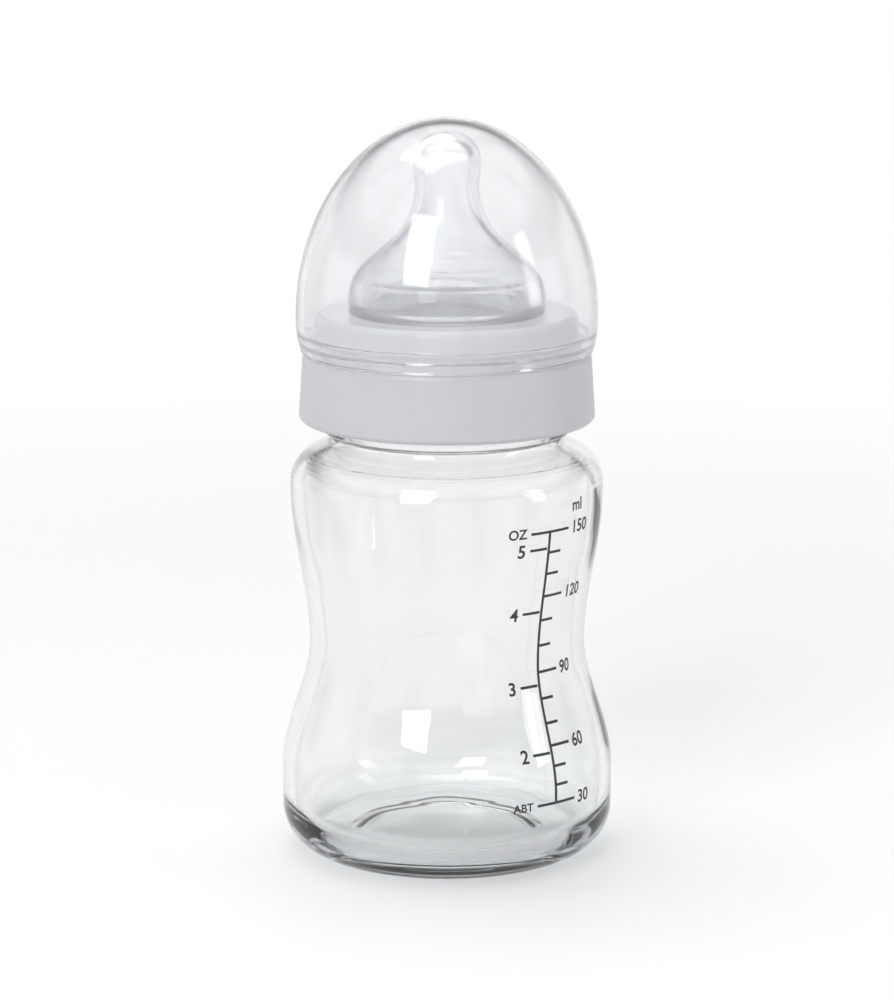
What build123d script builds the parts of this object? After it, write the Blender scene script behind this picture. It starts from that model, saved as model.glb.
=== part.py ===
from build123d import *
import math
import os

# A wide-neck baby bottle: glass body, screw ring, silicone teat and dome cap.
# Millimetres. +Z runs up the bottle's axis, and the origin is the centre of its foot.
# The printed scale faces -Y.

# ---- Glass body -------------------------------------------------------------------
BODY_HEIGHT = 103.0
WALL = 2.4
BASE_RADIUS = 32.5
WAIST_RADIUS = 27.0
SHOULDER_RADIUS = 30.5
BASE_TOP_Z = 17.0        # the straight belt above the heel ends here
WAIST_Z = 42.0
SHOULDER_Z = 72.0

HEEL_RADIUS = 9.0
FOOT_WIDTH = 4.0         # the flat ring that the bottle stands on
PUSH_UP = 1.3            # how far the middle of the base is domed upwards
FLOOR_Z = 4.2
INNER_HEEL_RADIUS = 7.0

SHOULDER_CORNER_Z = 78.2
SHOULDER_ROUND = 7.0
INNER_SHOULDER_ROUND = 5.0
NECK_ROOT_Z = 82.0
NECK_ROUND = 1.5
INNER_NECK_ROUND = 4.0
NECK_RADIUS = 22.4
NECK_BORE_RADIUS = 19.9
RIM_ROUND = 0.7

BEAD_RADIUS = 24.0       # the transfer bead under the thread
BEAD_Z = 84.3
BEAD_HEIGHT = 2.4
BEAD_CREST_HEIGHT = 1.2

# ---- Screw thread -----------------------------------------------------------------
THREAD_LEAD = 5.0
NECK_THREAD_CREST = 23.9
NECK_THREAD_START_Z = 87.9
NECK_THREAD_TURNS = 1.8
NECK_RIDGE_ROOT = 2.6
NECK_RIDGE_CREST = 1.2
RING_THREAD_CREST = 22.8
RING_THREAD_START_Z = 87.3
RING_THREAD_TURNS = 1.6
RING_RIDGE_ROOT = 2.2
RING_RIDGE_CREST = 1.0
RIDGE_OFFSET = 2.0       # the ring's ridge runs this far below the neck's
RIDGE_BITE = 0.3         # how far a ridge is sunk into its own wall

# ---- Screw ring -------------------------------------------------------------------
RING_BOTTOM_Z = 85.9
RING_LEDGE_Z = 98.9
RING_TOP_Z = 107.0
RING_BORE_RADIUS = 24.25
RING_SKIRT_RADIUS = 28.8
RING_SKIRT_DRAFT = 0.8   # the skirt is this much slimmer at the ledge
RING_BAND_RADIUS = 25.6
RING_BAND_BORE = 23.4
RING_STEP_Z = 98.6       # the bore narrows here, above the neck's thread
RING_LIP_BOTTOM_Z = 105.2
RING_HOLE_RADIUS = 16.5
RING_LIP_DISH = 0.4      # the top face drops by this much towards the hole
RING_MOUTH_CHAMFER = 0.5
RING_LEDGE_ROUND = 0.7
RING_TOP_ROUND = 1.3
RING_HOLE_ROUND = 0.5
SNAP_BEAD = 0.3
SNAP_Z = 102.4
SNAP_BEAD_HEIGHT = 1.6

# ---- Teat -------------------------------------------------------------------------
FLANGE_RADIUS = 23.0
FLANGE_BOTTOM_Z = BODY_HEIGHT + 0.06
FLANGE_TOP_Z = RING_LIP_BOTTOM_Z - 0.06
FLANGE_ROUND = 0.5
TEAT_GROOVE_RADIUS = RING_HOLE_RADIUS - 0.15
TEAT_DOME_RADIUS = 19.0
TEAT_DOME_Z = RING_TOP_Z - 0.2
TEAT_DOME_EDGE = 1.3
TEAT_STEM_RADIUS = 6.1
TEAT_STEM_Z = 130.3
TEAT_BULB_RADIUS = 6.5
TEAT_BULB_Z = 135.7
TEAT_TIP_Z = 141.6
TEAT_WALL = 1.9
TEAT_DOME_EXTRA = 0.6    # the dome's wall is this much thicker at its edge
TEAT_GROOVE_WALL = 2.2
TEAT_TIP_WALL = 2.4
TEAT_HOLE_RADIUS = 0.4
TEAT_SKIRT_RADIUS = 19.3
TEAT_SKIRT_WALL = 1.4
TEAT_SKIRT_DEPTH = 4.6

# ---- Dome cap ---------------------------------------------------------------------
CAP_WALL = 1.4
CAP_MOUTH_Z = RING_LEDGE_Z + 0.15
CAP_MOUTH_RADIUS = 28.4
CAP_RADIUS = 29.3        # the dome is widest a little above its mouth
CAP_WIDEST_Z = 106.0
CAP_TOP_Z = 144.4
CAP_GRIP_RADIUS = 25.95  # the rib inside the mouth that clips over the ring's bead
CAP_GRIP_HEIGHT = 2.6
CAP_GRIP_CHAMFER = 0.5
CAP_MOUTH_ROUND = 0.6

# ---- Printed scale ----------------------------------------------------------------
INK_GAP = 0.03
INK_THICKNESS = 0.12
LINE_WIDTH = 0.5
ML_STEP = 10
ML_FIRST = 30
ML_LAST = 150
ML_LONG_EVERY = 30
ML_LONG_TICK = 5.0
ML_SHORT_TICK = 3.1
ML_PER_OZ = 28.413       # an imperial fluid ounce
OZ_MARKS = range(2, 6)
OZ_TICK = 4.4            # the first and last millilitre marks also cross the line by this much


def side(inset):
    """The body's side, from heel to shoulder, moved inwards: a belt, then two cubic blends."""
    base, waist, shoulder = (r - inset for r in (BASE_RADIUS, WAIST_RADIUS, SHOULDER_RADIUS))
    low_third = (WAIST_Z - BASE_TOP_Z) / 3
    high_third = (SHOULDER_Z - WAIST_Z) / 3
    Bezier(
        (base, BASE_TOP_Z),
        (base, BASE_TOP_Z + low_third),
        (waist, WAIST_Z - low_third),
        (waist, WAIST_Z),
    )
    Bezier(
        (waist, WAIST_Z),
        (waist, WAIST_Z + high_third),
        (shoulder, SHOULDER_Z - high_third),
        (shoulder, SHOULDER_Z),
    )


def inner_radius(z):
    """The cavity's radius at height z, up to the shoulder."""
    base, waist, shoulder = (r - WALL for r in (BASE_RADIUS, WAIST_RADIUS, SHOULDER_RADIUS))
    if z < FLOOR_Z + INNER_HEEL_RADIUS:
        rise = FLOOR_Z + INNER_HEEL_RADIUS - z
        return base - INNER_HEEL_RADIUS + math.sqrt(INNER_HEEL_RADIUS**2 - rise**2)
    if z < BASE_TOP_Z:
        return base
    if z < WAIST_Z:
        t = (z - BASE_TOP_Z) / (WAIST_Z - BASE_TOP_Z)
        return base + (waist - base) * t * t * (3 - 2 * t)
    t = min(1.0, (z - WAIST_Z) / (SHOULDER_Z - WAIST_Z))
    return waist + (shoulder - waist) * t * t * (3 - 2 * t)


def fill_height(millilitres, step=0.01):
    """The height of the liquid's surface when the bottle holds this much."""
    z, volume = FLOOR_Z, 0.0
    while volume < millilitres * 1000:
        volume += math.pi * inner_radius(z + step / 2) ** 2 * step
        z += step
    return z


def thread_ridge(root_radius, crest_radius, root_width, crest_width, start_z, turns):
    """A right-hand helical ridge of trapezoid section, starting on the XZ plane."""
    bite = RIDGE_BITE if root_radius < crest_radius else -RIDGE_BITE
    with BuildPart() as ridge:
        with BuildLine() as path:
            Helix(THREAD_LEAD, THREAD_LEAD * turns, root_radius, center=(0, 0, start_z))
        start = path.line @ 0
        with BuildSketch(Plane(origin=start, x_dir=(1, 0, 0), z_dir=path.line % 0)):
            with BuildLine():
                Polyline(
                    (-bite, -root_width / 2),
                    (0, -root_width / 2),
                    (crest_radius - root_radius, -crest_width / 2),
                    (crest_radius - root_radius, crest_width / 2),
                    (0, root_width / 2),
                    (-bite, root_width / 2),
                    close=True,
                )
            make_face()
        sweep(path=path.line, is_frenet=True)
    return ridge.part


# ---- Glass body: one blown piece with its neck thread and transfer bead ------------
neck_ridge = thread_ridge(
    NECK_RADIUS,
    NECK_THREAD_CREST,
    NECK_RIDGE_ROOT,
    NECK_RIDGE_CREST,
    NECK_THREAD_START_Z,
    NECK_THREAD_TURNS,
)
foot_outer = BASE_RADIUS - HEEL_RADIUS
foot_inner = foot_outer - FOOT_WIDTH
inner_base = BASE_RADIUS - WALL

with BuildPart() as bottle_body:
    with BuildSketch(Plane.XZ):
        with BuildLine():
            TangentArc((0, PUSH_UP), (foot_inner, 0), tangent=(1, 0))
            Line((foot_inner, 0), (foot_outer, 0))
            TangentArc((foot_outer, 0), (BASE_RADIUS, HEEL_RADIUS), tangent=(1, 0))
            Line((BASE_RADIUS, HEEL_RADIUS), (BASE_RADIUS, BASE_TOP_Z))
            side(0)
            FilletPolyline(
                (SHOULDER_RADIUS, SHOULDER_Z),
                (SHOULDER_RADIUS, SHOULDER_CORNER_Z),
                (NECK_RADIUS, NECK_ROOT_Z),
                (NECK_RADIUS, BODY_HEIGHT),
                radius=[SHOULDER_ROUND, NECK_ROUND],
            )
            Polyline((NECK_RADIUS, BODY_HEIGHT), (0, BODY_HEIGHT), (0, PUSH_UP))
        make_face()
    revolve(axis=Axis.Z)
    with BuildSketch(Plane.XZ):
        with BuildLine():
            Line((0, FLOOR_Z), (inner_base - INNER_HEEL_RADIUS, FLOOR_Z))
            TangentArc(
                (inner_base - INNER_HEEL_RADIUS, FLOOR_Z),
                (inner_base, FLOOR_Z + INNER_HEEL_RADIUS),
                tangent=(1, 0),
            )
            Line((inner_base, FLOOR_Z + INNER_HEEL_RADIUS), (inner_base, BASE_TOP_Z))
            side(WALL)
            FilletPolyline(
                (SHOULDER_RADIUS - WALL, SHOULDER_Z),
                (SHOULDER_RADIUS - WALL, SHOULDER_CORNER_Z - 0.6 * WALL),
                (NECK_BORE_RADIUS, NECK_ROOT_Z - 0.75 * WALL),
                (NECK_BORE_RADIUS, BODY_HEIGHT),
                radius=[INNER_SHOULDER_ROUND, INNER_NECK_ROUND],
            )
            Polyline((NECK_BORE_RADIUS, BODY_HEIGHT), (0, BODY_HEIGHT), (0, FLOOR_Z))
        make_face()
    revolve(axis=Axis.Z, mode=Mode.SUBTRACT)
    fillet(bottle_body.edges().group_by(Axis.Z)[-1], RIM_ROUND)
    with BuildSketch(Plane.XZ):
        with BuildLine():
            Polyline(
                (NECK_RADIUS - RIDGE_BITE, BEAD_Z - BEAD_HEIGHT / 2),
                (NECK_RADIUS, BEAD_Z - BEAD_HEIGHT / 2),
                (BEAD_RADIUS, BEAD_Z - BEAD_CREST_HEIGHT / 2),
                (BEAD_RADIUS, BEAD_Z + BEAD_CREST_HEIGHT / 2),
                (NECK_RADIUS, BEAD_Z + BEAD_HEIGHT / 2),
                (NECK_RADIUS - RIDGE_BITE, BEAD_Z + BEAD_HEIGHT / 2),
                close=True,
            )
        make_face()
    revolve(axis=Axis.Z)
    add(neck_ridge)

# ---- Printed scale: ink lines that follow the glass --------------------------------
with BuildPart() as ink_skin:
    with BuildSketch(Plane.XZ):
        with BuildLine():
            side(-INK_GAP)
            side(-INK_GAP - INK_THICKNESS)
            for z, radius in ((BASE_TOP_Z, BASE_RADIUS), (SHOULDER_Z, SHOULDER_RADIUS)):
                Line((radius + INK_GAP, z), (radius + INK_GAP + INK_THICKNESS, z))
        make_face()
    revolve(axis=Axis.Z)
    with BuildSketch(Plane.XY.offset(HEEL_RADIUS)):
        Circle(BASE_RADIUS + INK_GAP + INK_THICKNESS)
        Circle(BASE_RADIUS + INK_GAP, mode=Mode.SUBTRACT)
    extrude(amount=BASE_TOP_Z - HEEL_RADIUS)

ml_marks = range(ML_FIRST, ML_LAST + 1, ML_STEP)
scale_bottom = fill_height(ML_FIRST)
scale_top = fill_height(ML_LAST)


def tick(x_from, x_to, z_from, z_to):
    """A flat bar on the front plane, pushed through the ink skin."""
    with Locations(((x_from + x_to) / 2, (z_from + z_to) / 2)):
        Rectangle(abs(x_to - x_from), z_to - z_from)


def mark(x_to, volume):
    """One tick from the scale's upright line out to x_to, at the height of that volume."""
    z = fill_height(volume)
    tick(0, x_to, z - LINE_WIDTH / 2, z + LINE_WIDTH / 2)


with BuildPart() as millilitre_scale:
    with BuildSketch(Plane.XZ):
        tick(-LINE_WIDTH / 2, LINE_WIDTH / 2, scale_bottom, scale_top)
        for volume in ml_marks:
            mark(ML_LONG_TICK if volume % ML_LONG_EVERY == 0 else ML_SHORT_TICK, volume)
        for volume in (ML_FIRST, ML_LAST):
            mark(-OZ_TICK, volume)
    extrude(amount=BASE_RADIUS + 1)
    add(ink_skin.part, mode=Mode.INTERSECT)

with BuildPart() as ounce_scale:
    with BuildSketch(Plane.XZ):
        for ounces in OZ_MARKS:
            z = fill_height(ounces * ML_PER_OZ)
            tick(-OZ_TICK, -LINE_WIDTH, z - LINE_WIDTH / 2, z + LINE_WIDTH / 2)
    extrude(amount=BASE_RADIUS + 1)
    add(ink_skin.part, mode=Mode.INTERSECT)

# ---- Screw ring: threaded skirt, band for the cap, and lip that holds the teat ------
ring_phase = (RING_THREAD_START_Z - NECK_THREAD_START_Z + RIDGE_OFFSET) / THREAD_LEAD * 360
ring_ridge = thread_ridge(
    RING_BORE_RADIUS,
    RING_THREAD_CREST,
    RING_RIDGE_ROOT,
    RING_RIDGE_CREST,
    RING_THREAD_START_Z,
    RING_THREAD_TURNS,
).rotate(Axis.Z, ring_phase)

with BuildPart() as screw_ring:
    with BuildSketch(Plane.XZ):
        with BuildLine():
            Polyline(
                (RING_BORE_RADIUS + RING_MOUTH_CHAMFER, RING_BOTTOM_Z),
                (RING_SKIRT_RADIUS - RING_MOUTH_CHAMFER, RING_BOTTOM_Z),
                (RING_SKIRT_RADIUS, RING_BOTTOM_Z + RING_MOUTH_CHAMFER),
                (RING_SKIRT_RADIUS - RING_SKIRT_DRAFT, RING_LEDGE_Z),
                (RING_BAND_RADIUS, RING_LEDGE_Z),
                (RING_BAND_RADIUS, SNAP_Z - SNAP_BEAD_HEIGHT / 2),
            )
            ThreePointArc(
                (RING_BAND_RADIUS, SNAP_Z - SNAP_BEAD_HEIGHT / 2),
                (RING_BAND_RADIUS + SNAP_BEAD, SNAP_Z),
                (RING_BAND_RADIUS, SNAP_Z + SNAP_BEAD_HEIGHT / 2),
            )
            Polyline(
                (RING_BAND_RADIUS, SNAP_Z + SNAP_BEAD_HEIGHT / 2),
                (RING_BAND_RADIUS, RING_TOP_Z),
                (RING_HOLE_RADIUS, RING_TOP_Z - RING_LIP_DISH),
                (RING_HOLE_RADIUS, RING_LIP_BOTTOM_Z),
                (RING_BAND_BORE, RING_LIP_BOTTOM_Z),
                (RING_BAND_BORE, RING_STEP_Z),
                (RING_BORE_RADIUS, RING_STEP_Z),
                (RING_BORE_RADIUS, RING_BOTTOM_Z + RING_MOUTH_CHAMFER),
                (RING_BORE_RADIUS + RING_MOUTH_CHAMFER, RING_BOTTOM_Z),
            )
        make_face()
    revolve(axis=Axis.Z)
    for radius, z, round_radius in (
        (RING_SKIRT_RADIUS - RING_SKIRT_DRAFT, RING_LEDGE_Z, RING_LEDGE_ROUND),
        (RING_BAND_RADIUS, RING_TOP_Z, RING_TOP_ROUND),
        (RING_HOLE_RADIUS, RING_TOP_Z - RING_LIP_DISH, RING_HOLE_ROUND),
    ):
        rims = screw_ring.edges().filter_by(GeomType.CIRCLE).filter_by_position(Axis.Z, z - 0.01, z + 0.01)
        fillet(rims.filter_by(lambda e: abs(e.radius - radius) < 0.01), round_radius)
    add(ring_ridge)

# ---- Teat: one moulded silicone piece ----------------------------------------------
stem_bore = TEAT_STEM_RADIUS - TEAT_WALL
bulb_bore = TEAT_BULB_RADIUS - TEAT_WALL
dome_bore = TEAT_DOME_RADIUS - TEAT_WALL - TEAT_DOME_EXTRA
groove_bore = TEAT_GROOVE_RADIUS - TEAT_GROOVE_WALL
dome_edge_z = TEAT_DOME_Z + TEAT_DOME_EDGE
dome_inside_z = dome_edge_z + TEAT_DOME_EXTRA
tip_inside_z = TEAT_TIP_Z - TEAT_TIP_WALL
skirt_z = FLANGE_BOTTOM_Z - TEAT_SKIRT_DEPTH


def teat_curve(base_radius, base_z, stem_radius, bulb_radius, tip_z):
    """From the dome's edge, over the dome, up the stem and bulb to the tip on the axis."""
    dome_rise = TEAT_STEM_Z - base_z
    Bezier(
        (base_radius, base_z),
        (base_radius + 1.1, base_z + 0.48 * dome_rise),
        (stem_radius + 1.7, base_z + 0.42 * dome_rise),
        (stem_radius, TEAT_STEM_Z),
    )
    Bezier(
        (stem_radius, TEAT_STEM_Z),
        (stem_radius, TEAT_STEM_Z + 2.2),
        (bulb_radius, TEAT_BULB_Z - 2.2),
        (bulb_radius, TEAT_BULB_Z),
    )
    tip_rise = tip_z - TEAT_BULB_Z
    Bezier(
        (bulb_radius, TEAT_BULB_Z),
        (bulb_radius, TEAT_BULB_Z + 0.66 * tip_rise),
        (0.58 * bulb_radius, tip_z),
        (0, tip_z),
    )


with BuildPart() as teat:
    with BuildSketch(Plane.XZ):
        with BuildLine():
            Polyline(
                (0, skirt_z),
                (TEAT_SKIRT_RADIUS, skirt_z),
                (TEAT_SKIRT_RADIUS, FLANGE_BOTTOM_Z),
                (FLANGE_RADIUS, FLANGE_BOTTOM_Z),
                (FLANGE_RADIUS, FLANGE_TOP_Z),
                (TEAT_GROOVE_RADIUS, FLANGE_TOP_Z),
                (TEAT_GROOVE_RADIUS, TEAT_DOME_Z),
                (TEAT_DOME_RADIUS, TEAT_DOME_Z),
                (TEAT_DOME_RADIUS, dome_edge_z),
            )
            teat_curve(TEAT_DOME_RADIUS, dome_edge_z, TEAT_STEM_RADIUS, TEAT_BULB_RADIUS, TEAT_TIP_Z)
            Line((0, TEAT_TIP_Z), (0, skirt_z))
        make_face()
    revolve(axis=Axis.Z)
    with BuildSketch(Plane.XZ):
        with BuildLine():
            Polyline(
                (0, skirt_z),
                (TEAT_SKIRT_RADIUS - TEAT_SKIRT_WALL, skirt_z),
                (TEAT_SKIRT_RADIUS - TEAT_SKIRT_WALL, FLANGE_BOTTOM_Z),
                (groove_bore, FLANGE_TOP_Z),
                (groove_bore, TEAT_DOME_Z),
                (dome_bore, dome_inside_z),
            )
            teat_curve(dome_bore, dome_inside_z, stem_bore, bulb_bore, tip_inside_z)
            Line((0, tip_inside_z), (0, skirt_z))
        make_face()
    revolve(axis=Axis.Z, mode=Mode.SUBTRACT)
    fillet(
        teat.edges().filter_by(GeomType.CIRCLE).filter_by(lambda e: abs(e.radius - FLANGE_RADIUS) < 0.01),
        FLANGE_ROUND,
    )
    with BuildSketch(Plane.XY.offset(tip_inside_z - 1)):
        Circle(TEAT_HOLE_RADIUS)
    extrude(amount=TEAT_TIP_WALL + 2, mode=Mode.SUBTRACT)

# ---- Dome cap: a clear hood that clips over the ring's band ------------------------


def cap_curve(mouth_radius, radius, top_z):
    """One side of the cap's wall: from the mouth, out to the widest point, then a half egg."""
    rise = CAP_WIDEST_Z - CAP_MOUTH_Z
    Bezier(
        (mouth_radius, CAP_MOUTH_Z),
        (mouth_radius + 0.7 * (radius - mouth_radius), CAP_MOUTH_Z + 0.4 * rise),
        (radius, CAP_MOUTH_Z + 0.6 * rise),
        (radius, CAP_WIDEST_Z),
    )
    Bezier(
        (radius, CAP_WIDEST_Z),
        (radius, CAP_WIDEST_Z + 0.53 * (top_z - CAP_WIDEST_Z)),
        (0.56 * radius, top_z),
        (0, top_z),
    )


cap_inside = CAP_MOUTH_RADIUS - CAP_WALL
grip_top = CAP_MOUTH_Z + CAP_GRIP_HEIGHT
with BuildPart() as dome_cap:
    with BuildSketch(Plane.XZ):
        with BuildLine():
            cap_curve(CAP_MOUTH_RADIUS, CAP_RADIUS, CAP_TOP_Z)
            cap_curve(cap_inside, CAP_RADIUS - CAP_WALL, CAP_TOP_Z - CAP_WALL)
            Line((0, CAP_TOP_Z), (0, CAP_TOP_Z - CAP_WALL))
            Line((cap_inside, CAP_MOUTH_Z), (CAP_MOUTH_RADIUS, CAP_MOUTH_Z))
        make_face()
        with BuildLine():
            Polyline(
                (cap_inside + CAP_GRIP_CHAMFER, CAP_MOUTH_Z),
                (cap_inside + CAP_GRIP_CHAMFER, grip_top + 1.0),
                (CAP_GRIP_RADIUS + 0.9, grip_top),
                (CAP_GRIP_RADIUS, grip_top - 0.8),
                (CAP_GRIP_RADIUS, CAP_MOUTH_Z + CAP_GRIP_CHAMFER),
                (CAP_GRIP_RADIUS + CAP_GRIP_CHAMFER, CAP_MOUTH_Z),
                close=True,
            )
        make_face()
    revolve(axis=Axis.Z)
    mouth_edges = dome_cap.edges().filter_by(GeomType.CIRCLE).group_by(Axis.Z)[0]
    fillet(mouth_edges.sort_by(SortBy.RADIUS)[-1], CAP_MOUTH_ROUND)

# ---- One file per piece -----------------------------------------------------------
os.makedirs("parts", exist_ok=True)
pieces = {
    "bottle_body": bottle_body,
    "millilitre_scale": millilitre_scale,
    "ounce_scale": ounce_scale,
    "screw_ring": screw_ring,
    "teat": teat,
    "dome_cap": dome_cap,
}
for name, piece in pieces.items():
    piece.part.label = name
    export_step(piece.part, f"parts/{name}.step")
    print(name, len(piece.part.solids()), "solids", round(piece.part.volume / 1000, 2), "ml of material")
print("30 ml at", round(scale_bottom, 1), "and 150 ml at", round(scale_top, 1), "mm")
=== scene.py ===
import math

import bmesh
import bpy
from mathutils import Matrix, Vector, noise


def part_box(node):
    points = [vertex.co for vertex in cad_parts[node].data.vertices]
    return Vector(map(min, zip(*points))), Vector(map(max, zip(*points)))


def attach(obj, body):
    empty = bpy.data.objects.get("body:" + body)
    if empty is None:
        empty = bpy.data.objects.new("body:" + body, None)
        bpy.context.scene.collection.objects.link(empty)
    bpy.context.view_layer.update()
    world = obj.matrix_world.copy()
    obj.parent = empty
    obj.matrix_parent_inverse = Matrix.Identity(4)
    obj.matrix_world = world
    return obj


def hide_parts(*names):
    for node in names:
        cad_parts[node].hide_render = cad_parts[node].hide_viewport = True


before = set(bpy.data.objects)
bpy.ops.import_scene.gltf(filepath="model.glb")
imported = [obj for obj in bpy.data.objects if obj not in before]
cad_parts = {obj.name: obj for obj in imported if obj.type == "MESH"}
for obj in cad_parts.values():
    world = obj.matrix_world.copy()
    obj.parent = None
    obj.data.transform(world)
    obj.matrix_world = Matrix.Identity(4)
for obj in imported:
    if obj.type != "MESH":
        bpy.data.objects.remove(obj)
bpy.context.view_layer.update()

MM = 0.001
TAU = 2 * math.pi
LEDGE_Z = 98.9           # mm, the top of the ring's skirt, where its narrower band starts
WHITE = (1, 1, 1, 1)

# ---- Shape helpers ----------------------------------------------------------------


def bezier(a, b, c, d, steps):
    """Points along a cubic curve, its first point left out."""
    points = []
    for i in range(1, steps + 1):
        t = i / steps
        s = 1 - t
        points.append(
            tuple(s**3 * a[k] + 3 * s * s * t * b[k] + 3 * s * t * t * c[k] + t**3 * d[k] for k in (0, 1))
        )
    return points


def rounded(corners, steps):
    """(r, z) or (r, z, rounding) corners, with each rounding drawn as an arc."""
    points = []
    for i, corner in enumerate(corners):
        here = Vector(corner[:2])
        if len(corner) < 3 or i in (0, len(corners) - 1):
            points.append(tuple(here))
            continue
        before = Vector(corners[i - 1][:2]) - here
        after = Vector(corners[i + 1][:2]) - here
        half = before.angle(after) / 2
        reach = corner[2] / math.tan(half)
        reach = min(reach, 0.95 * before.length, 0.95 * after.length)
        radius = reach * math.tan(half)
        middle = here + (before.normalized() + after.normalized()).normalized() * (radius / math.sin(half))
        start = here + before.normalized() * reach - middle
        end = here + after.normalized() * reach - middle
        sweep = math.atan2(start.x * end.y - start.y * end.x, start.dot(end))
        for k in range(steps + 1):
            turn = sweep * k / steps
            points.append(
                (
                    middle.x + start.x * math.cos(turn) - start.y * math.sin(turn),
                    middle.y + start.x * math.sin(turn) + start.y * math.cos(turn),
                )
            )
    return points


def even(points, spacing):
    """The same line with points added, so that no gap is wider than spacing."""
    out = [points[0]]
    for a, b in zip(points, points[1:]):
        n = max(1, math.ceil(math.dist(a, b) / spacing))
        out += [(a[0] + (b[0] - a[0]) * k / n, a[1] + (b[1] - a[1]) * k / n) for k in range(1, n + 1)]
    return out


def lathe(name, profile, material, segments, shape=None, closed=True):
    """A mesh turned about the Z axis from an (r, z) line in mm. shape gives each point a new r and z."""
    mesh = bpy.data.meshes.new(name)
    bm = bmesh.new()
    rows = []
    for number, (r, z) in enumerate(profile):
        if r < 1e-6:
            rows.append([bm.verts.new((0, 0, z * MM))])
            continue
        row = []
        for i in range(segments):
            theta = TAU * i / segments
            rr, zz = shape(theta, r, z, number) if shape else (r, z)
            row.append(bm.verts.new((rr * math.cos(theta) * MM, rr * math.sin(theta) * MM, zz * MM)))
        rows.append(row)
    pairs = list(zip(rows, rows[1:]))
    if closed and len(rows[0]) > 1:
        pairs.append((rows[-1], rows[0]))
    for a, b in pairs:
        for i in range(segments):
            j = (i + 1) % segments
            quad = [a[i % len(a)], a[j % len(a)], b[j % len(b)], b[i % len(b)]]
            quad = list(dict.fromkeys(quad))
            if len(quad) > 2:
                bm.faces.new(quad)
    bmesh.ops.recalc_face_normals(bm, faces=bm.faces)
    bm.to_mesh(mesh)
    bm.free()
    mesh.shade_smooth()
    mesh.materials.append(material)
    obj = bpy.data.objects.new(name, mesh)
    bpy.context.scene.collection.objects.link(obj)
    return obj


def ridge(theta, z, start_z, start_turn, turns, root, crest):
    """0 to 1: how high a helical thread stands here. Both of its ends fade out."""
    best = 0.0
    angle = (theta / TAU - start_turn) % 1.0
    for k in range(int(turns) + 2):
        t = angle + k
        if t > turns:
            break
        off = abs(z - (start_z + THREAD_LEAD * t))
        flank = min(1.0, max(0.0, (root / 2 - off) / (root / 2 - crest / 2)))
        fade = min(1.0, t / 0.07, (turns - t) / 0.07)
        best = max(best, flank * flank * (3 - 2 * flank) * fade)
    return best


def place(obj, body, slot_name, *nodes):
    """Puts a piece on its moving body, in place of the CAD nodes that it shows."""
    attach(obj, body)
    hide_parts(*nodes)


# ---- Material helpers ---------------------------------------------------------------
MIX_A, MIX_B, MIX_COLOR = 6, 7, 2    # the Mix node's two colour inputs and its colour output


def material(name):
    m = bpy.data.materials.new(name)
    m.use_nodes = True
    m.node_tree.nodes.clear()
    return m, m.node_tree


def node(tree, kind, values=None, **settings):
    n = tree.nodes.new(kind)
    for key, value in settings.items():
        setattr(n, key, value)
    for key, value in (values or {}).items():
        n.inputs[key].default_value = value
    return n


def link(tree, a, out, b, into):
    tree.links.new(a.outputs[out], b.inputs[into])


def noise_texture(tree, scale, detail, stretch=(1, 1, 1)):
    """A noise in the piece's own coordinates."""
    where = node(tree, "ShaderNodeTexCoord")
    mapping = node(tree, "ShaderNodeMapping", {"Scale": stretch})
    texture = node(tree, "ShaderNodeTexNoise", {"Scale": scale, "Detail": detail})
    link(tree, where, "Object", mapping, "Vector")
    link(tree, mapping, "Vector", texture, "Vector")
    return texture


def noise_map(tree, scale, low, high, detail, from_low=0.3, from_high=0.7):
    """A noise whose middle values, from_low to from_high, are spread from low to high."""
    texture = noise_texture(tree, scale, detail)
    spread = node(
        tree,
        "ShaderNodeMapRange",
        {"From Min": from_low, "From Max": from_high, "To Min": low, "To Max": high},
    )
    link(tree, texture, "Fac", spread, "Value")
    return spread


def noise_bump(tree, shader, texture, strength, distance):
    bump = node(tree, "ShaderNodeBump", {"Strength": strength, "Distance": distance})
    link(tree, texture, "Fac", bump, "Height")
    link(tree, bump, "Normal", shader, "Normal")


def see_through(tree, shader, shadow_tint, tint, density):
    """A pale shadow, so that light reaches what is behind a clear piece, and absorption with thickness."""
    path = node(tree, "ShaderNodeLightPath")
    clear = node(tree, "ShaderNodeBsdfTransparent", {"Color": shadow_tint})
    mix = node(tree, "ShaderNodeMixShader")
    out = node(tree, "ShaderNodeOutputMaterial")
    link(tree, path, "Is Shadow Ray", mix, "Fac")
    link(tree, shader, 0, mix, 1)
    link(tree, clear, 0, mix, 2)
    link(tree, mix, 0, out, "Surface")
    absorb = node(tree, "ShaderNodeVolumeAbsorption", {"Color": tint, "Density": density})
    link(tree, absorb, "Volume", out, "Volume")


def color_mix(tree, driver, out, first, second, shader):
    """The shader's colour, blended from first to second by another node's output."""
    blend = node(tree, "ShaderNodeMix", {MIX_A: first, MIX_B: second}, data_type="RGBA")
    link(tree, driver, out, blend, "Factor")
    link(tree, blend, MIX_COLOR, shader, "Base Color")


def edge_tint(tree, shader, face, rim_shade, start):
    """Painted shade: the clear wall's colour darkens to a grey where it is seen at a grazing angle, which
    draws dark outlines along its edges.
    """
    weight = node(tree, "ShaderNodeLayerWeight", {"Blend": 0.5})
    spread = node(tree, "ShaderNodeMapRange", {"From Min": start, "From Max": 1.0})
    link(tree, weight, "Facing", spread, "Value")
    color_mix(tree, spread, "Result", face, rim_shade, shader)


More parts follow.
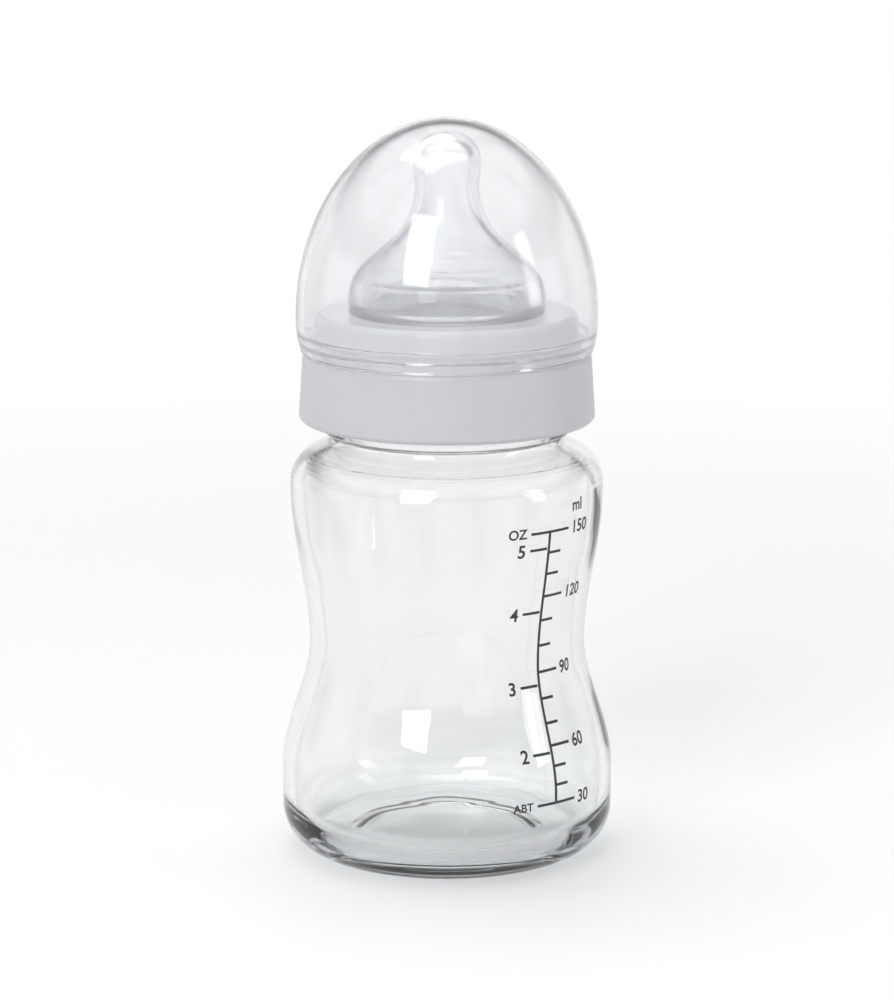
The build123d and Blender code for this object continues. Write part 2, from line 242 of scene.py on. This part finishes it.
def milky(tree, clear, tint, rough, haze):
    """A clear shader with a little of a milky one mixed in."""
    ior = clear.inputs["IOR"].default_value
    milk = node(tree, "ShaderNodeBsdfPrincipled", {"Base Color": tint, "Roughness": rough, "IOR": ior})
    mix = node(tree, "ShaderNodeMixShader")
    link(tree, haze, "Result", mix, "Fac")
    link(tree, clear, 0, mix, 1)
    link(tree, milk, 0, mix, 2)
    return mix


def glass_material():
    m, tree = material("clear_glass")
    bsdf = node(tree, "ShaderNodeBsdfPrincipled", {"Transmission Weight": 1.0, "IOR": 1.5})
    # painted shade: the glass turns dark grey where it is seen edge on, for its dark outlines
    edge_tint(tree, bsdf, (0.988, 0.995, 0.992, 1), (0.3, 0.33, 0.34, 1), 0.74)
    rough = noise_map(tree, 160, 0.0, 0.03, detail=4, from_low=0.45, from_high=0.8)
    link(tree, rough, "Result", bsdf, "Roughness")
    waves = noise_texture(tree, 55, 1, stretch=(1, 1, 0.35))
    noise_bump(tree, bsdf, waves, 0.05, 0.002)
    see_through(tree, bsdf, (0.93, 0.945, 0.945, 1), (0.42, 0.46, 0.48, 1), 26.0)
    return m


def silicone_material():
    m, tree = material("clear_silicone")
    clear = node(tree, "ShaderNodeBsdfPrincipled", {"Transmission Weight": 1.0, "IOR": 1.41})
    # painted shade: the silicone turns grey where it is seen edge on, for its dark outlines
    edge_tint(tree, clear, (0.98, 0.982, 0.984, 1), (0.42, 0.44, 0.46, 1), 0.72)
    rough = noise_map(tree, 220, 0.02, 0.09, detail=4)
    link(tree, rough, "Result", clear, "Roughness")
    haze = noise_map(tree, 90, 0.05, 0.11, detail=3)
    mix = milky(tree, clear, (0.86, 0.875, 0.885, 1), 0.35, haze)
    see_through(tree, mix, (0.88, 0.89, 0.895, 1), (0.45, 0.47, 0.5, 1), 30.0)
    return m


def cap_material():
    m, tree = material("clear_cap_plastic")
    clear = node(tree, "ShaderNodeBsdfPrincipled", {"Transmission Weight": 1.0, "IOR": 1.49})
    # painted shade: the cap turns grey where it is seen edge on, for its dark outlines
    edge_tint(tree, clear, (0.982, 0.985, 0.99, 1), (0.5, 0.52, 0.54, 1), 0.76)
    rough = noise_map(tree, 120, 0.03, 0.09, detail=4)
    link(tree, rough, "Result", clear, "Roughness")
    haze = noise_map(tree, 70, 0.09, 0.15, detail=3)
    mix = milky(tree, clear, (0.84, 0.85, 0.87, 1), 0.3, haze)
    see_through(tree, mix, (0.90, 0.905, 0.91, 1), (0.45, 0.47, 0.5, 1), 16.0)
    return m


def ring_material():
    """Satin on the skirt and glossy on the band above the ledge."""
    m, tree = material("light_grey_plastic")
    bsdf = node(tree, "ShaderNodeBsdfPrincipled", {"IOR": 1.49, "Specular IOR Level": 0.45})
    rough = noise_map(tree, 90, 0.3, 0.37, detail=2)
    where = node(tree, "ShaderNodeTexCoord")
    height = node(tree, "ShaderNodeSeparateXYZ")
    low, high = (LEDGE_Z - 0.1) * MM, (LEDGE_Z + 0.3) * MM
    polish = node(
        tree, "ShaderNodeMapRange", {"From Min": low, "From Max": high, "To Min": 1.0, "To Max": 0.4}
    )
    gloss = node(tree, "ShaderNodeMath", operation="MULTIPLY")
    link(tree, where, "Object", height, "Vector")
    link(tree, height, "Z", polish, "Value")
    link(tree, rough, "Result", gloss, 0)
    link(tree, polish, "Result", gloss, 1)
    link(tree, gloss, "Value", bsdf, "Roughness")
    tone = noise_map(tree, 45, 0.0, 1.0, detail=3)
    color_mix(tree, tone, "Result", (0.5, 0.511, 0.54, 1), (0.535, 0.546, 0.575, 1), bsdf)
    noise_bump(tree, bsdf, noise_texture(tree, 2600, 2), 0.12, 0.0001)
    out = node(tree, "ShaderNodeOutputMaterial")
    link(tree, bsdf, "BSDF", out, "Surface")
    return m


def ink_material():
    m, tree = material("dark_grey_ink")
    bsdf = node(tree, "ShaderNodeBsdfPrincipled", {"IOR": 1.5})
    tone = noise_map(tree, 900, 0.0, 1.0, detail=3)
    color_mix(tree, tone, "Result", (0.012, 0.012, 0.014, 1), (0.03, 0.03, 0.034, 1), bsdf)
    rough = noise_map(tree, 1500, 0.4, 0.6, detail=2)
    link(tree, rough, "Result", bsdf, "Roughness")
    out = node(tree, "ShaderNodeOutputMaterial")
    link(tree, bsdf, "BSDF", out, "Surface")
    return m


glass = glass_material()
silicone = silicone_material()
cap_plastic = cap_material()
ring_plastic = ring_material()
ink = ink_material()

# ---- Sizes in mm: from the CAD boxes where they give them, else as the CAD has them -------
body_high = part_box("bottle_body")[1] / MM
ring_low, ring_high = (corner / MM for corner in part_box("screw_ring"))
teat_low, teat_high = (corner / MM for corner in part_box("teat"))
cap_low, cap_high = (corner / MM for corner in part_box("dome_cap"))

BASE_R = body_high.x
RIM_Z = body_high.z
WALL = 2.4
WAIST_R, SHOULDER_R = BASE_R - 5.5, BASE_R - 2.0
BELT_Z, WAIST_Z, SHOULDER_Z = 17.0, 42.0, 72.0
HEEL_R, FOOT_WIDTH, PUSH_UP = 9.0, 4.0, 1.3
FLOOR_Z, INNER_HEEL_R = 4.2, 7.0
SHOULDER_CORNER_Z = 78.2
NECK_R, NECK_BORE, NECK_ROOT_Z = 22.4, 19.9, 82.0
NECK_BORE_END = 5.0      # how far below the rim the cavity's outline takes over
BEAD_R, BEAD_Z = 24.0, 84.3
QUARTER = 0.5523         # a cubic curve's handle for a quarter circle of radius 1
THREAD_LEAD = 5.0
NECK_THREAD_Z, NECK_TURNS = 87.9, 1.8
NECK_RIDGE, NECK_ROOT, NECK_CREST = 1.5, 2.6, 1.2    # height, width at its root and at its crest
RING_THREAD_Z, RING_TURNS = 87.3, 1.6
RING_RIDGE, RING_ROOT, RING_CREST = 1.45, 2.2, 1.0
RING_START = 0.28        # of a turn, so that the ring's ridge runs between the neck's


def side_line(inset):
    """The side from the belt to the shoulder, moved inwards."""
    base, waist, shoulder = (r - inset for r in (BASE_R, WAIST_R, SHOULDER_R))
    low, high = (WAIST_Z - BELT_Z) / 3, (SHOULDER_Z - WAIST_Z) / 3
    line = bezier((base, BELT_Z), (base, BELT_Z + low), (waist, WAIST_Z - low), (waist, WAIST_Z), 30)
    line += bezier(
        (waist, WAIST_Z), (waist, WAIST_Z + high), (shoulder, SHOULDER_Z - high), (shoulder, SHOULDER_Z), 30
    )
    return line


def outer_radius(z):
    """The glass's radius at height z, with the same blends as side_line."""
    if z <= BELT_Z:
        return BASE_R
    if z < WAIST_Z:
        t = (z - BELT_Z) / (WAIST_Z - BELT_Z)
        return BASE_R + (WAIST_R - BASE_R) * t * t * (3 - 2 * t)
    t = min(1.0, (z - WAIST_Z) / (SHOULDER_Z - WAIST_Z))
    return WAIST_R + (SHOULDER_R - WAIST_R) * t * t * (3 - 2 * t)


# ---- Glass body ---------------------------------------------------------------------
foot_out = BASE_R - HEEL_R
foot_in = foot_out - FOOT_WIDTH
outside = rounded([(0, PUSH_UP), (foot_in - 3, PUSH_UP - 0.15, 12), (foot_in, 0, 1.2), (foot_out, 0)], 8)
outside += bezier(
    (foot_out, 0),
    (foot_out + QUARTER * HEEL_R, 0),
    (BASE_R, HEEL_R - QUARTER * HEEL_R),
    (BASE_R, HEEL_R),
    16,
)
outside += [(BASE_R, BELT_Z)] + side_line(0)
neck = rounded(
    [
        (SHOULDER_R, SHOULDER_Z),
        (SHOULDER_R, SHOULDER_CORNER_Z, 7.0),
        (NECK_R, NECK_ROOT_Z, 1.5),
        (NECK_R, BEAD_Z - 1.2, 0.3),
        (BEAD_R, BEAD_Z - 0.6, 0.5),
        (BEAD_R, BEAD_Z + 0.6, 0.5),
        (NECK_R, BEAD_Z + 1.2, 0.3),
        (NECK_R, RIM_Z, 0.7),
        (NECK_BORE, RIM_Z, 0.7),
        (NECK_BORE, RIM_Z - NECK_BORE_END),
    ],
    8,
)[1:]
outside += even(neck, 0.3)
cavity = rounded(
    [
        (NECK_BORE, RIM_Z - NECK_BORE_END),
        (NECK_BORE, NECK_ROOT_Z - 1.8, 4.0),
        (SHOULDER_R - WALL, SHOULDER_CORNER_Z - 1.5, 5.0),
        (SHOULDER_R - WALL, SHOULDER_Z),
    ],
    10,
)[1:]
cavity += list(reversed(side_line(WALL)))[1:]
inner = BASE_R - WALL
heel_top = FLOOR_Z + INNER_HEEL_R
cavity += [(inner, BELT_Z), (inner, heel_top)]
cavity += bezier(
    (inner, heel_top),
    (inner, heel_top - QUARTER * INNER_HEEL_R),
    (inner - INNER_HEEL_R + QUARTER * INNER_HEEL_R, FLOOR_Z),
    (inner - INNER_HEEL_R, FLOOR_Z),
    14,
)
# the floor inside is a little low near its edge and rises to the middle
cavity += [(inner - 14, FLOOR_Z - 0.1), (inner - 22, FLOOR_Z), (0, FLOOR_Z + 0.15)]


def neck_thread(theta, r, z):
    """The thread stands on the neck between the bead and the rim."""
    if r > NECK_R - 0.4 and z > BEAD_Z + 1.7:
        r += NECK_RIDGE * ridge(theta, z, NECK_THREAD_Z, 0.0, NECK_TURNS, NECK_ROOT, NECK_CREST)
    return r, z


def uneven_wall(theta, r, z):
    """The inside of blown glass is never quite true, except at the neck and the floor."""
    fade = min(1.0, max(0.0, (NECK_ROOT_Z - z) / 6), max(0.0, (z - FLOOR_Z) / 3))
    p = Vector((math.cos(theta) * 1.1, math.sin(theta) * 1.1, z / 26))
    r += fade * (0.24 * noise.noise(p) + 0.09 * noise.noise(p * 3.1))
    return r, z


def glass_shape(theta, r, z, row):
    return neck_thread(theta, r, z) if row < len(outside) else uneven_wall(theta, r, z)


body = lathe("glass_body", outside + cavity, glass, 256, glass_shape, closed=False)
place(body, "bottle", "glass", "bottle_body")

# ---- Printed scale: the CAD ticks, with numerals wrapped onto the same glass -----------
INK_HEIGHT = 0.1         # how far the numerals stand off the glass
ML_X, OZ_X = 6.0, -5.4   # where the words start beside the scale's upright line
NUMERAL = 2.6            # a numeral's height
LONGEST_EDGE = 0.8       # longer ones are cut, so that the words bend with the glass
ML_FIRST, ML_LAST, ML_EACH = 30, 150, 30
OZ_NUMERALS = range(2, 6)
ML_PER_OZ = 28.413       # an imperial fluid ounce

for tick_node in ("millilitre_scale", "ounce_scale"):
    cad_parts[tick_node].data.materials.clear()
    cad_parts[tick_node].data.materials.append(ink)


def wrapped_text(name, words, x, z, height, align):
    """Printed words on the glass: x is the distance round from the scale's line, z their middle, in mm."""
    curve = bpy.data.curves.new(name, "FONT")
    curve.body = words
    curve.align_x = align
    curve.size = 1.0
    curve.offset = 0.022     # a little bolder than the font's own strokes
    curve.resolution_u = 6
    flat = bpy.data.objects.new(name + "_flat", curve)
    bpy.context.scene.collection.objects.link(flat)
    bpy.context.view_layer.update()
    mesh = bpy.data.meshes.new_from_object(flat.evaluated_get(bpy.context.evaluated_depsgraph_get()))
    bpy.data.objects.remove(flat)
    low = min(v.co.y for v in mesh.vertices)
    high = max(v.co.y for v in mesh.vertices)
    size = height / (high - low)
    bm = bmesh.new()
    bm.from_mesh(mesh)
    bmesh.ops.triangulate(bm, faces=bm.faces)
    for _ in range(2):
        long_edges = [e for e in bm.edges if e.calc_length() * size > LONGEST_EDGE]
        if long_edges:
            bmesh.ops.subdivide_edges(bm, edges=long_edges, cuts=1)
            bmesh.ops.triangulate(bm, faces=bm.faces)
    for v in bm.verts:
        across = x + v.co.x * size
        zz = z + (v.co.y - (low + high) / 2) * size
        r = outer_radius(zz) + INK_HEIGHT
        angle = -TAU / 4 + across / outer_radius(zz)
        v.co = Vector((r * math.cos(angle), r * math.sin(angle), zz)) * MM
    bm.normal_update()
    bm.to_mesh(mesh)
    bm.free()
    mesh.materials.clear()
    mesh.materials.append(ink)
    obj = bpy.data.objects.new(name, mesh)
    bpy.context.scene.collection.objects.link(obj)
    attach(obj, "bottle")


def fill_height(millilitres, step=0.02):
    """The liquid's surface height for a volume, in mm, with the CAD cavity's shape."""
    z, volume = FLOOR_Z, 0.0
    while volume < millilitres * 1000:
        middle = z + step / 2
        r = outer_radius(middle) - WALL
        if middle < heel_top:
            r = inner - INNER_HEEL_R + math.sqrt(INNER_HEEL_R**2 - (heel_top - middle) ** 2)
        volume += math.pi * r * r * step
        z += step
    return z


for ml in range(ML_FIRST, ML_LAST + 1, ML_EACH):
    wrapped_text(f"numeral_{ml}_ml", str(ml), ML_X, fill_height(ml), NUMERAL, "LEFT")
for ounces in OZ_NUMERALS:
    z = fill_height(ounces * ML_PER_OZ)
    wrapped_text(f"numeral_{ounces}_oz", str(ounces), OZ_X, z, NUMERAL, "RIGHT")
top = fill_height(ML_LAST)
wrapped_text("unit_ml", "ml", ML_X, top + 4.3, 2.4, "LEFT")
wrapped_text("unit_oz", "OZ", OZ_X, top + 0.2, 2.0, "RIGHT")
wrapped_text("word_about", "ABT", OZ_X, fill_height(ML_FIRST), 1.7, "RIGHT")

# ---- Screw ring ------------------------------------------------------------------------
RING_Z, RING_TOP_Z, STEP_Z = ring_low.z, 107.0, 98.6
RING_R, RING_BORE = ring_high.x, 24.25
BAND_R, BAND_BORE = 25.6, 23.4
SNAP_Z, SNAP = 102.4, 0.3
HOLE_R, LIP_Z = 16.5, 105.2
ring_profile = rounded(
    [
        (RING_BORE + 0.5, RING_Z, 0.2),
        (RING_BORE + 0.65, RING_Z, 0.1),
        (RING_R - 0.6, RING_Z, 0.4),
        (RING_R, RING_Z + 0.7, 0.5),
        (RING_R - 0.75, LEDGE_Z - 0.7, 0.9),
        (RING_R - 1.1, LEDGE_Z, 0.45),
        (BAND_R + 0.7, LEDGE_Z, 0.25),
        (BAND_R + 0.15, LEDGE_Z - 0.3, 0.25),
        (BAND_R, LEDGE_Z + 0.2, 0.3),
        (BAND_R, SNAP_Z - 0.8, 0.4),
        (BAND_R + SNAP, SNAP_Z - 0.2, 0.5),
        (BAND_R + SNAP, SNAP_Z + 0.2, 0.5),
        (BAND_R, SNAP_Z + 0.8, 0.5),
        (BAND_R - 0.15, RING_TOP_Z, 1.3),
        (HOLE_R, RING_TOP_Z - 0.4, 0.6),
        (HOLE_R, LIP_Z, 0.2),
        (BAND_BORE, LIP_Z, 0.3),
        (BAND_BORE, STEP_Z, 0.2),
        (RING_BORE, STEP_Z, 0.1),
        (RING_BORE, RING_Z + 0.5, 0.1),
        (RING_BORE + 0.5, RING_Z, 0.2),
    ],
    6,
)
ring_profile = even(ring_profile, 0.45)


def ring_shape(theta, r, z, row):
    """The ring's own thread, on the bore of its skirt."""
    if r < RING_BORE + 0.05 and RING_Z + 0.4 < z < STEP_Z - 0.1:
        r -= RING_RIDGE * ridge(theta, z, RING_THREAD_Z, RING_START, RING_TURNS, RING_ROOT, RING_CREST)
    return r, z


ring = lathe("screw_ring_moulding", ring_profile[:-1], ring_plastic, 224, ring_shape)
place(ring, "ring", "ring_plastic", "screw_ring")

# ---- Teat ------------------------------------------------------------------------------
SEAT_GAP = 0.06          # between the flange and the glass below it and the ring above it
FLANGE_R, FLANGE_Z, FLANGE_TOP_Z = 23.0, RIM_Z + SEAT_GAP, LIP_Z - SEAT_GAP
SKIRT_R, SKIRT_BORE = 19.3, 17.9
GROOVE_R, GROOVE_BORE = HOLE_R - 0.15, 14.15
DOME_R, DOME_BORE, DOME_Z, DOME_EDGE = 19.0, 16.5, 106.8, 1.3
STEM_R, STEM_Z = 6.1, 130.3
BULB_R, BULB_Z = 6.5, 135.7
TEAT_WALL, TIP_WALL, FLOW_HOLE_R = 1.9, 2.4, 0.35
TIP_Z = teat_high.z
SEAL_IN, SEAL_OUT, SEAL_DEPTH = 20.75, 21.75, 0.3    # a shallow groove round the flange's top
RIDGE_HEIGHTS, RIDGE_SPREAD, RIDGE_DEPTH = (113.5, 116.5, 119.5), 0.35, 0.09


def teat_line(base_r, base_z, stem_r, bulb_r, tip_z):
    """From the dome's edge, over the dome, up the stem and bulb to the flow hole."""
    rise = STEM_Z - base_z
    line = bezier(
        (base_r, base_z),
        (base_r + 1.1, base_z + 0.48 * rise),
        (stem_r + 1.7, base_z + 0.42 * rise),
        (stem_r, STEM_Z),
        40,
    )
    line += bezier((stem_r, STEM_Z), (stem_r, STEM_Z + 2.2), (bulb_r, BULB_Z - 2.2), (bulb_r, BULB_Z), 14)
    up = tip_z - BULB_Z
    line += bezier(
        (bulb_r, BULB_Z),
        (bulb_r, BULB_Z + 0.66 * up),
        (0.58 * bulb_r, tip_z),
        (FLOW_HOLE_R, tip_z),
        22,
    )
    return line


teat_outside = rounded(
    [
        (SKIRT_BORE + 0.05, teat_low.z, 0.2),
        (SKIRT_R, teat_low.z, 0.5),
        (SKIRT_R, FLANGE_Z, 0.3),
        (FLANGE_R - 1, FLANGE_Z + 0.04, 0.4),
        (FLANGE_R, FLANGE_Z + 0.1, 0.5),
        (FLANGE_R, FLANGE_TOP_Z - 0.1, 0.5),
        (SEAL_OUT + 0.15, FLANGE_TOP_Z - 0.05, 0.3),
        (SEAL_OUT - 0.15, FLANGE_TOP_Z - SEAL_DEPTH, 0.2),
        (SEAL_IN + 0.15, FLANGE_TOP_Z - SEAL_DEPTH, 0.2),
        (SEAL_IN - 0.15, FLANGE_TOP_Z - 0.05, 0.3),
        (GROOVE_R, FLANGE_TOP_Z, 0.3),
        (GROOVE_R, DOME_Z, 0.3),
        (DOME_R, DOME_Z, 0.5),
        (DOME_R, DOME_Z + DOME_EDGE),
    ],
    6,
)
teat_outside += teat_line(DOME_R, DOME_Z + DOME_EDGE, STEM_R, BULB_R, TIP_Z)
dome_inside_z = DOME_Z + DOME_EDGE + 0.6
teat_inside = rounded(
    [
        (SKIRT_BORE, teat_low.z),
        (SKIRT_BORE, FLANGE_Z, 1.0),
        (GROOVE_BORE, FLANGE_TOP_Z, 1.2),
        (GROOVE_BORE, DOME_Z, 1.0),
        (DOME_BORE, dome_inside_z),
    ],
    6,
)
teat_inside += teat_line(DOME_BORE, dome_inside_z, STEM_R - TEAT_WALL, BULB_R - TEAT_WALL, TIP_Z - TIP_WALL)


def teat_shape(theta, r, z, row):
    """Three faint ridges run round the dome, on both faces of its wall."""
    for height in RIDGE_HEIGHTS:
        off = (z - height) / RIDGE_SPREAD
        r += RIDGE_DEPTH * math.exp(-off * off)
    return r, z


teat_profile = even(teat_outside, 0.5) + list(reversed(even(teat_inside, 0.6)))
teat = lathe("teat_moulding", teat_profile, silicone, 192, teat_shape)
place(teat, "teat", "silicone", "teat")

# ---- Dome cap --------------------------------------------------------------------------
CAP_Z, CAP_TOP_Z, CAP_R = cap_low.z, cap_high.z, cap_high.x
CAP_WALL, CAP_MOUTH_R, CAP_WIDEST_Z = 1.4, 28.4, 106.0
GRIP_R = 25.95           # the rib inside the mouth that clips over the ring's bead


def cap_line(mouth_r, r, top_z):
    """From just above the mouth, out to the widest height and over the dome to the axis."""
    rise = CAP_WIDEST_Z - CAP_Z
    line = bezier(
        (mouth_r, CAP_Z + 0.6),
        (mouth_r + 0.7 * (r - mouth_r), CAP_Z + 0.4 * rise),
        (r, CAP_Z + 0.6 * rise),
        (r, CAP_WIDEST_Z),
        12,
    )
    dome = top_z - CAP_WIDEST_Z
    line += bezier((r, CAP_WIDEST_Z), (r, CAP_WIDEST_Z + 0.53 * dome), (0.56 * r, top_z), (0, top_z), 48)
    return line


grip = rounded(
    [
        (CAP_MOUTH_R - CAP_WALL + 0.1, CAP_Z + 3.8),
        (GRIP_R + 1.1, CAP_Z + 3.5, 0.3),
        (GRIP_R + 0.9, CAP_Z + 2.6, 0.4),
        (GRIP_R, CAP_Z + 1.8, 0.5),
        (GRIP_R, CAP_Z + 0.5, 0.3),
        (GRIP_R + 0.45, CAP_Z, 0.3),
        (CAP_MOUTH_R, CAP_Z, 0.6),
        (CAP_MOUTH_R, CAP_Z + 0.6),
    ],
    6,
)
cap_outside = cap_line(CAP_MOUTH_R, CAP_R, CAP_TOP_Z)
cap_inside = cap_line(CAP_MOUTH_R - CAP_WALL, CAP_R - CAP_WALL, CAP_TOP_Z - CAP_WALL)
cap_inside = [(r, z) for r, z in cap_inside if z > CAP_Z + 3.9]
cap_profile = list(reversed(cap_inside)) + grip + cap_outside
cap = lathe("dome_cap_moulding", cap_profile, cap_plastic, 224, closed=False)
place(cap, "cap", "cap_plastic", "dome_cap")

# ---- Floor: its sizes and the studio's are in metres ----------------------------------------
PANEL_COUNT = 8.0
PAPER_EDGE = (0.16, 0.5)     # the paper fades into light between these distances from the bottle
FLOOR_R, FLOOR_DROP = 4.0, 0.0002


def panels(tree, source, socket, darkest):
    """White studio panels all round with dark gaps between them, as a brightness."""
    split = node(tree, "ShaderNodeSeparateXYZ")
    around = node(tree, "ShaderNodeMath", operation="ARCTAN2")
    count = node(tree, "ShaderNodeMath", {1: PANEL_COUNT}, operation="MULTIPLY")
    wave = node(tree, "ShaderNodeMath", operation="COSINE")
    gaps = node(
        tree,
        "ShaderNodeMapRange",
        {"From Min": -0.85, "From Max": -0.35, "To Min": darkest, "To Max": 1.0},
    )
    link(tree, source, socket, split, "Vector")
    link(tree, split, "Y", around, 0)
    link(tree, split, "X", around, 1)
    link(tree, around, "Value", count, 0)
    link(tree, count, "Value", wave, 0)
    link(tree, wave, "Value", gaps, "Value")
    return gaps


def by_camera(tree, aside, direct):
    """One shader where the camera looks straight at it, another for all other light."""
    path = node(tree, "ShaderNodeLightPath")
    choose = node(tree, "ShaderNodeMixShader")
    link(tree, path, "Is Camera Ray", choose, "Fac")
    link(tree, aside, 0, choose, 1)
    link(tree, direct, 0, choose, 2)
    return choose


def paper_material():
    """Pale paper under the bottle, which turns into plain light further out."""
    m, tree = material("pale_paper")
    diffuse = node(tree, "ShaderNodeBsdfDiffuse", {"Color": (0.9, 0.9, 0.905, 1)})
    direct = node(tree, "ShaderNodeEmission", {"Color": WHITE, "Strength": 1.0})
    aside = node(tree, "ShaderNodeEmission", {"Color": WHITE})
    point = node(tree, "ShaderNodeNewGeometry")
    distance = node(tree, "ShaderNodeVectorMath", operation="LENGTH")
    edge = node(tree, "ShaderNodeMapRange", {"From Min": PAPER_EDGE[0], "From Max": PAPER_EDGE[1]})
    link(tree, point, "Position", distance, "Vector")
    link(tree, distance, "Value", edge, "Value")
    link(tree, panels(tree, point, "Position", 0.8), 0, aside, "Strength")
    whole = node(tree, "ShaderNodeMixShader")
    link(tree, edge, "Result", whole, "Fac")
    link(tree, diffuse, 0, whole, 1)
    link(tree, by_camera(tree, aside, direct), 0, whole, 2)
    out = node(tree, "ShaderNodeOutputMaterial")
    link(tree, whole, "Shader", out, "Surface")
    return m


floor_mesh = bpy.data.meshes.new("floor")
bm = bmesh.new()
bmesh.ops.create_circle(bm, cap_ends=True, radius=FLOOR_R, segments=96)
bm.to_mesh(floor_mesh)
bm.free()
floor_mesh.materials.append(paper_material())
floor = bpy.data.objects.new("floor", floor_mesh)
bpy.context.scene.collection.objects.link(floor)
floor.location.z = -FLOOR_DROP

# ---- Studio -----------------------------------------------------------------------------
BOTTLE_MIDDLE = Vector((0, 0, 0.07))
# (sine of the height above the horizon, brightness) at each stop of the studio's walls
SKY = ((0.22, 1.0), (0.32, 0.05), (0.5, 0.05), (0.62, 0.9))


def studio_world():
    """A white studio with a dark band around it, which draws the clear pieces' edges."""
    world = bpy.data.worlds.new("studio")
    world.use_nodes = True
    tree = world.node_tree
    tree.nodes.clear()
    where = node(tree, "ShaderNodeTexCoord")
    split = node(tree, "ShaderNodeSeparateXYZ")
    height = node(tree, "ShaderNodeValToRGB")
    stops = height.color_ramp.elements
    for i, (position, grey) in enumerate(SKY):
        stop = stops[i] if i < len(stops) else stops.new(position)
        stop.position, stop.color = position, (grey, grey, grey, 1)
    level = node(tree, "ShaderNodeMath", operation="MULTIPLY")
    link(tree, where, "Generated", split, "Vector")
    link(tree, split, "Z", height, "Fac")
    link(tree, panels(tree, where, "Generated", 0.55), 0, level, 0)
    link(tree, height, "Color", level, 1)
    banded = node(tree, "ShaderNodeBackground", {"Color": WHITE})
    plain = node(tree, "ShaderNodeBackground", {"Color": WHITE, "Strength": 1.0})
    link(tree, level, "Value", banded, "Strength")
    out = node(tree, "ShaderNodeOutputWorld")
    link(tree, by_camera(tree, banded, plain), 0, out, "Surface")
    return world


def softbox(name, place_at, size, power):
    light = bpy.data.lights.new(name, "AREA")
    light.shape = "RECTANGLE"
    light.size, light.size_y = size
    light.energy = power
    obj = bpy.data.objects.new(name, light)
    bpy.context.scene.collection.objects.link(obj)
    obj.location = place_at
    aim = BOTTLE_MIDDLE - Vector(place_at)
    obj.rotation_euler = aim.to_track_quat("-Z", "Y").to_euler()


bpy.context.scene.view_settings.view_transform = "Standard"
bpy.context.scene.world = studio_world()
softbox("key", (-0.85, -0.4, 0.7), (0.4, 0.7), 5.5)
softbox("fill", (0.5, -0.85, 0.4), (0.2, 0.55), 1.2)
softbox("top", (0.05, 0.25, 1.1), (0.6, 0.6), 3.5)

# Light crosses many surfaces in the thick heel and in the cap, teat and glass behind one another.
light_paths = bpy.context.scene.cycles
light_paths.max_bounces = 28
light_paths.transmission_bounces = 28
light_paths.glossy_bounces = 12
light_paths.transparent_max_bounces = 28

# ---- Camera -----------------------------------------------------------------------------
AZIMUTH, ELEVATION = math.radians(-40), math.radians(12)
AIM_AT, CAMERA_AWAY = Vector((0, 0, 0.0695)), 0.76

camera_data = bpy.data.cameras.new("camera")
camera_data.lens = 140
camera = bpy.data.objects.new("camera", camera_data)
bpy.context.scene.collection.objects.link(camera)
level_reach = math.cos(ELEVATION)
back = Vector((math.sin(AZIMUTH) * level_reach, -math.cos(AZIMUTH) * level_reach, math.sin(ELEVATION)))
camera.location = AIM_AT + back * CAMERA_AWAY
camera.rotation_mode = "QUATERNION"
camera.rotation_quaternion = (-back).to_track_quat("-Z", "Y")
bpy.context.scene.camera = camera
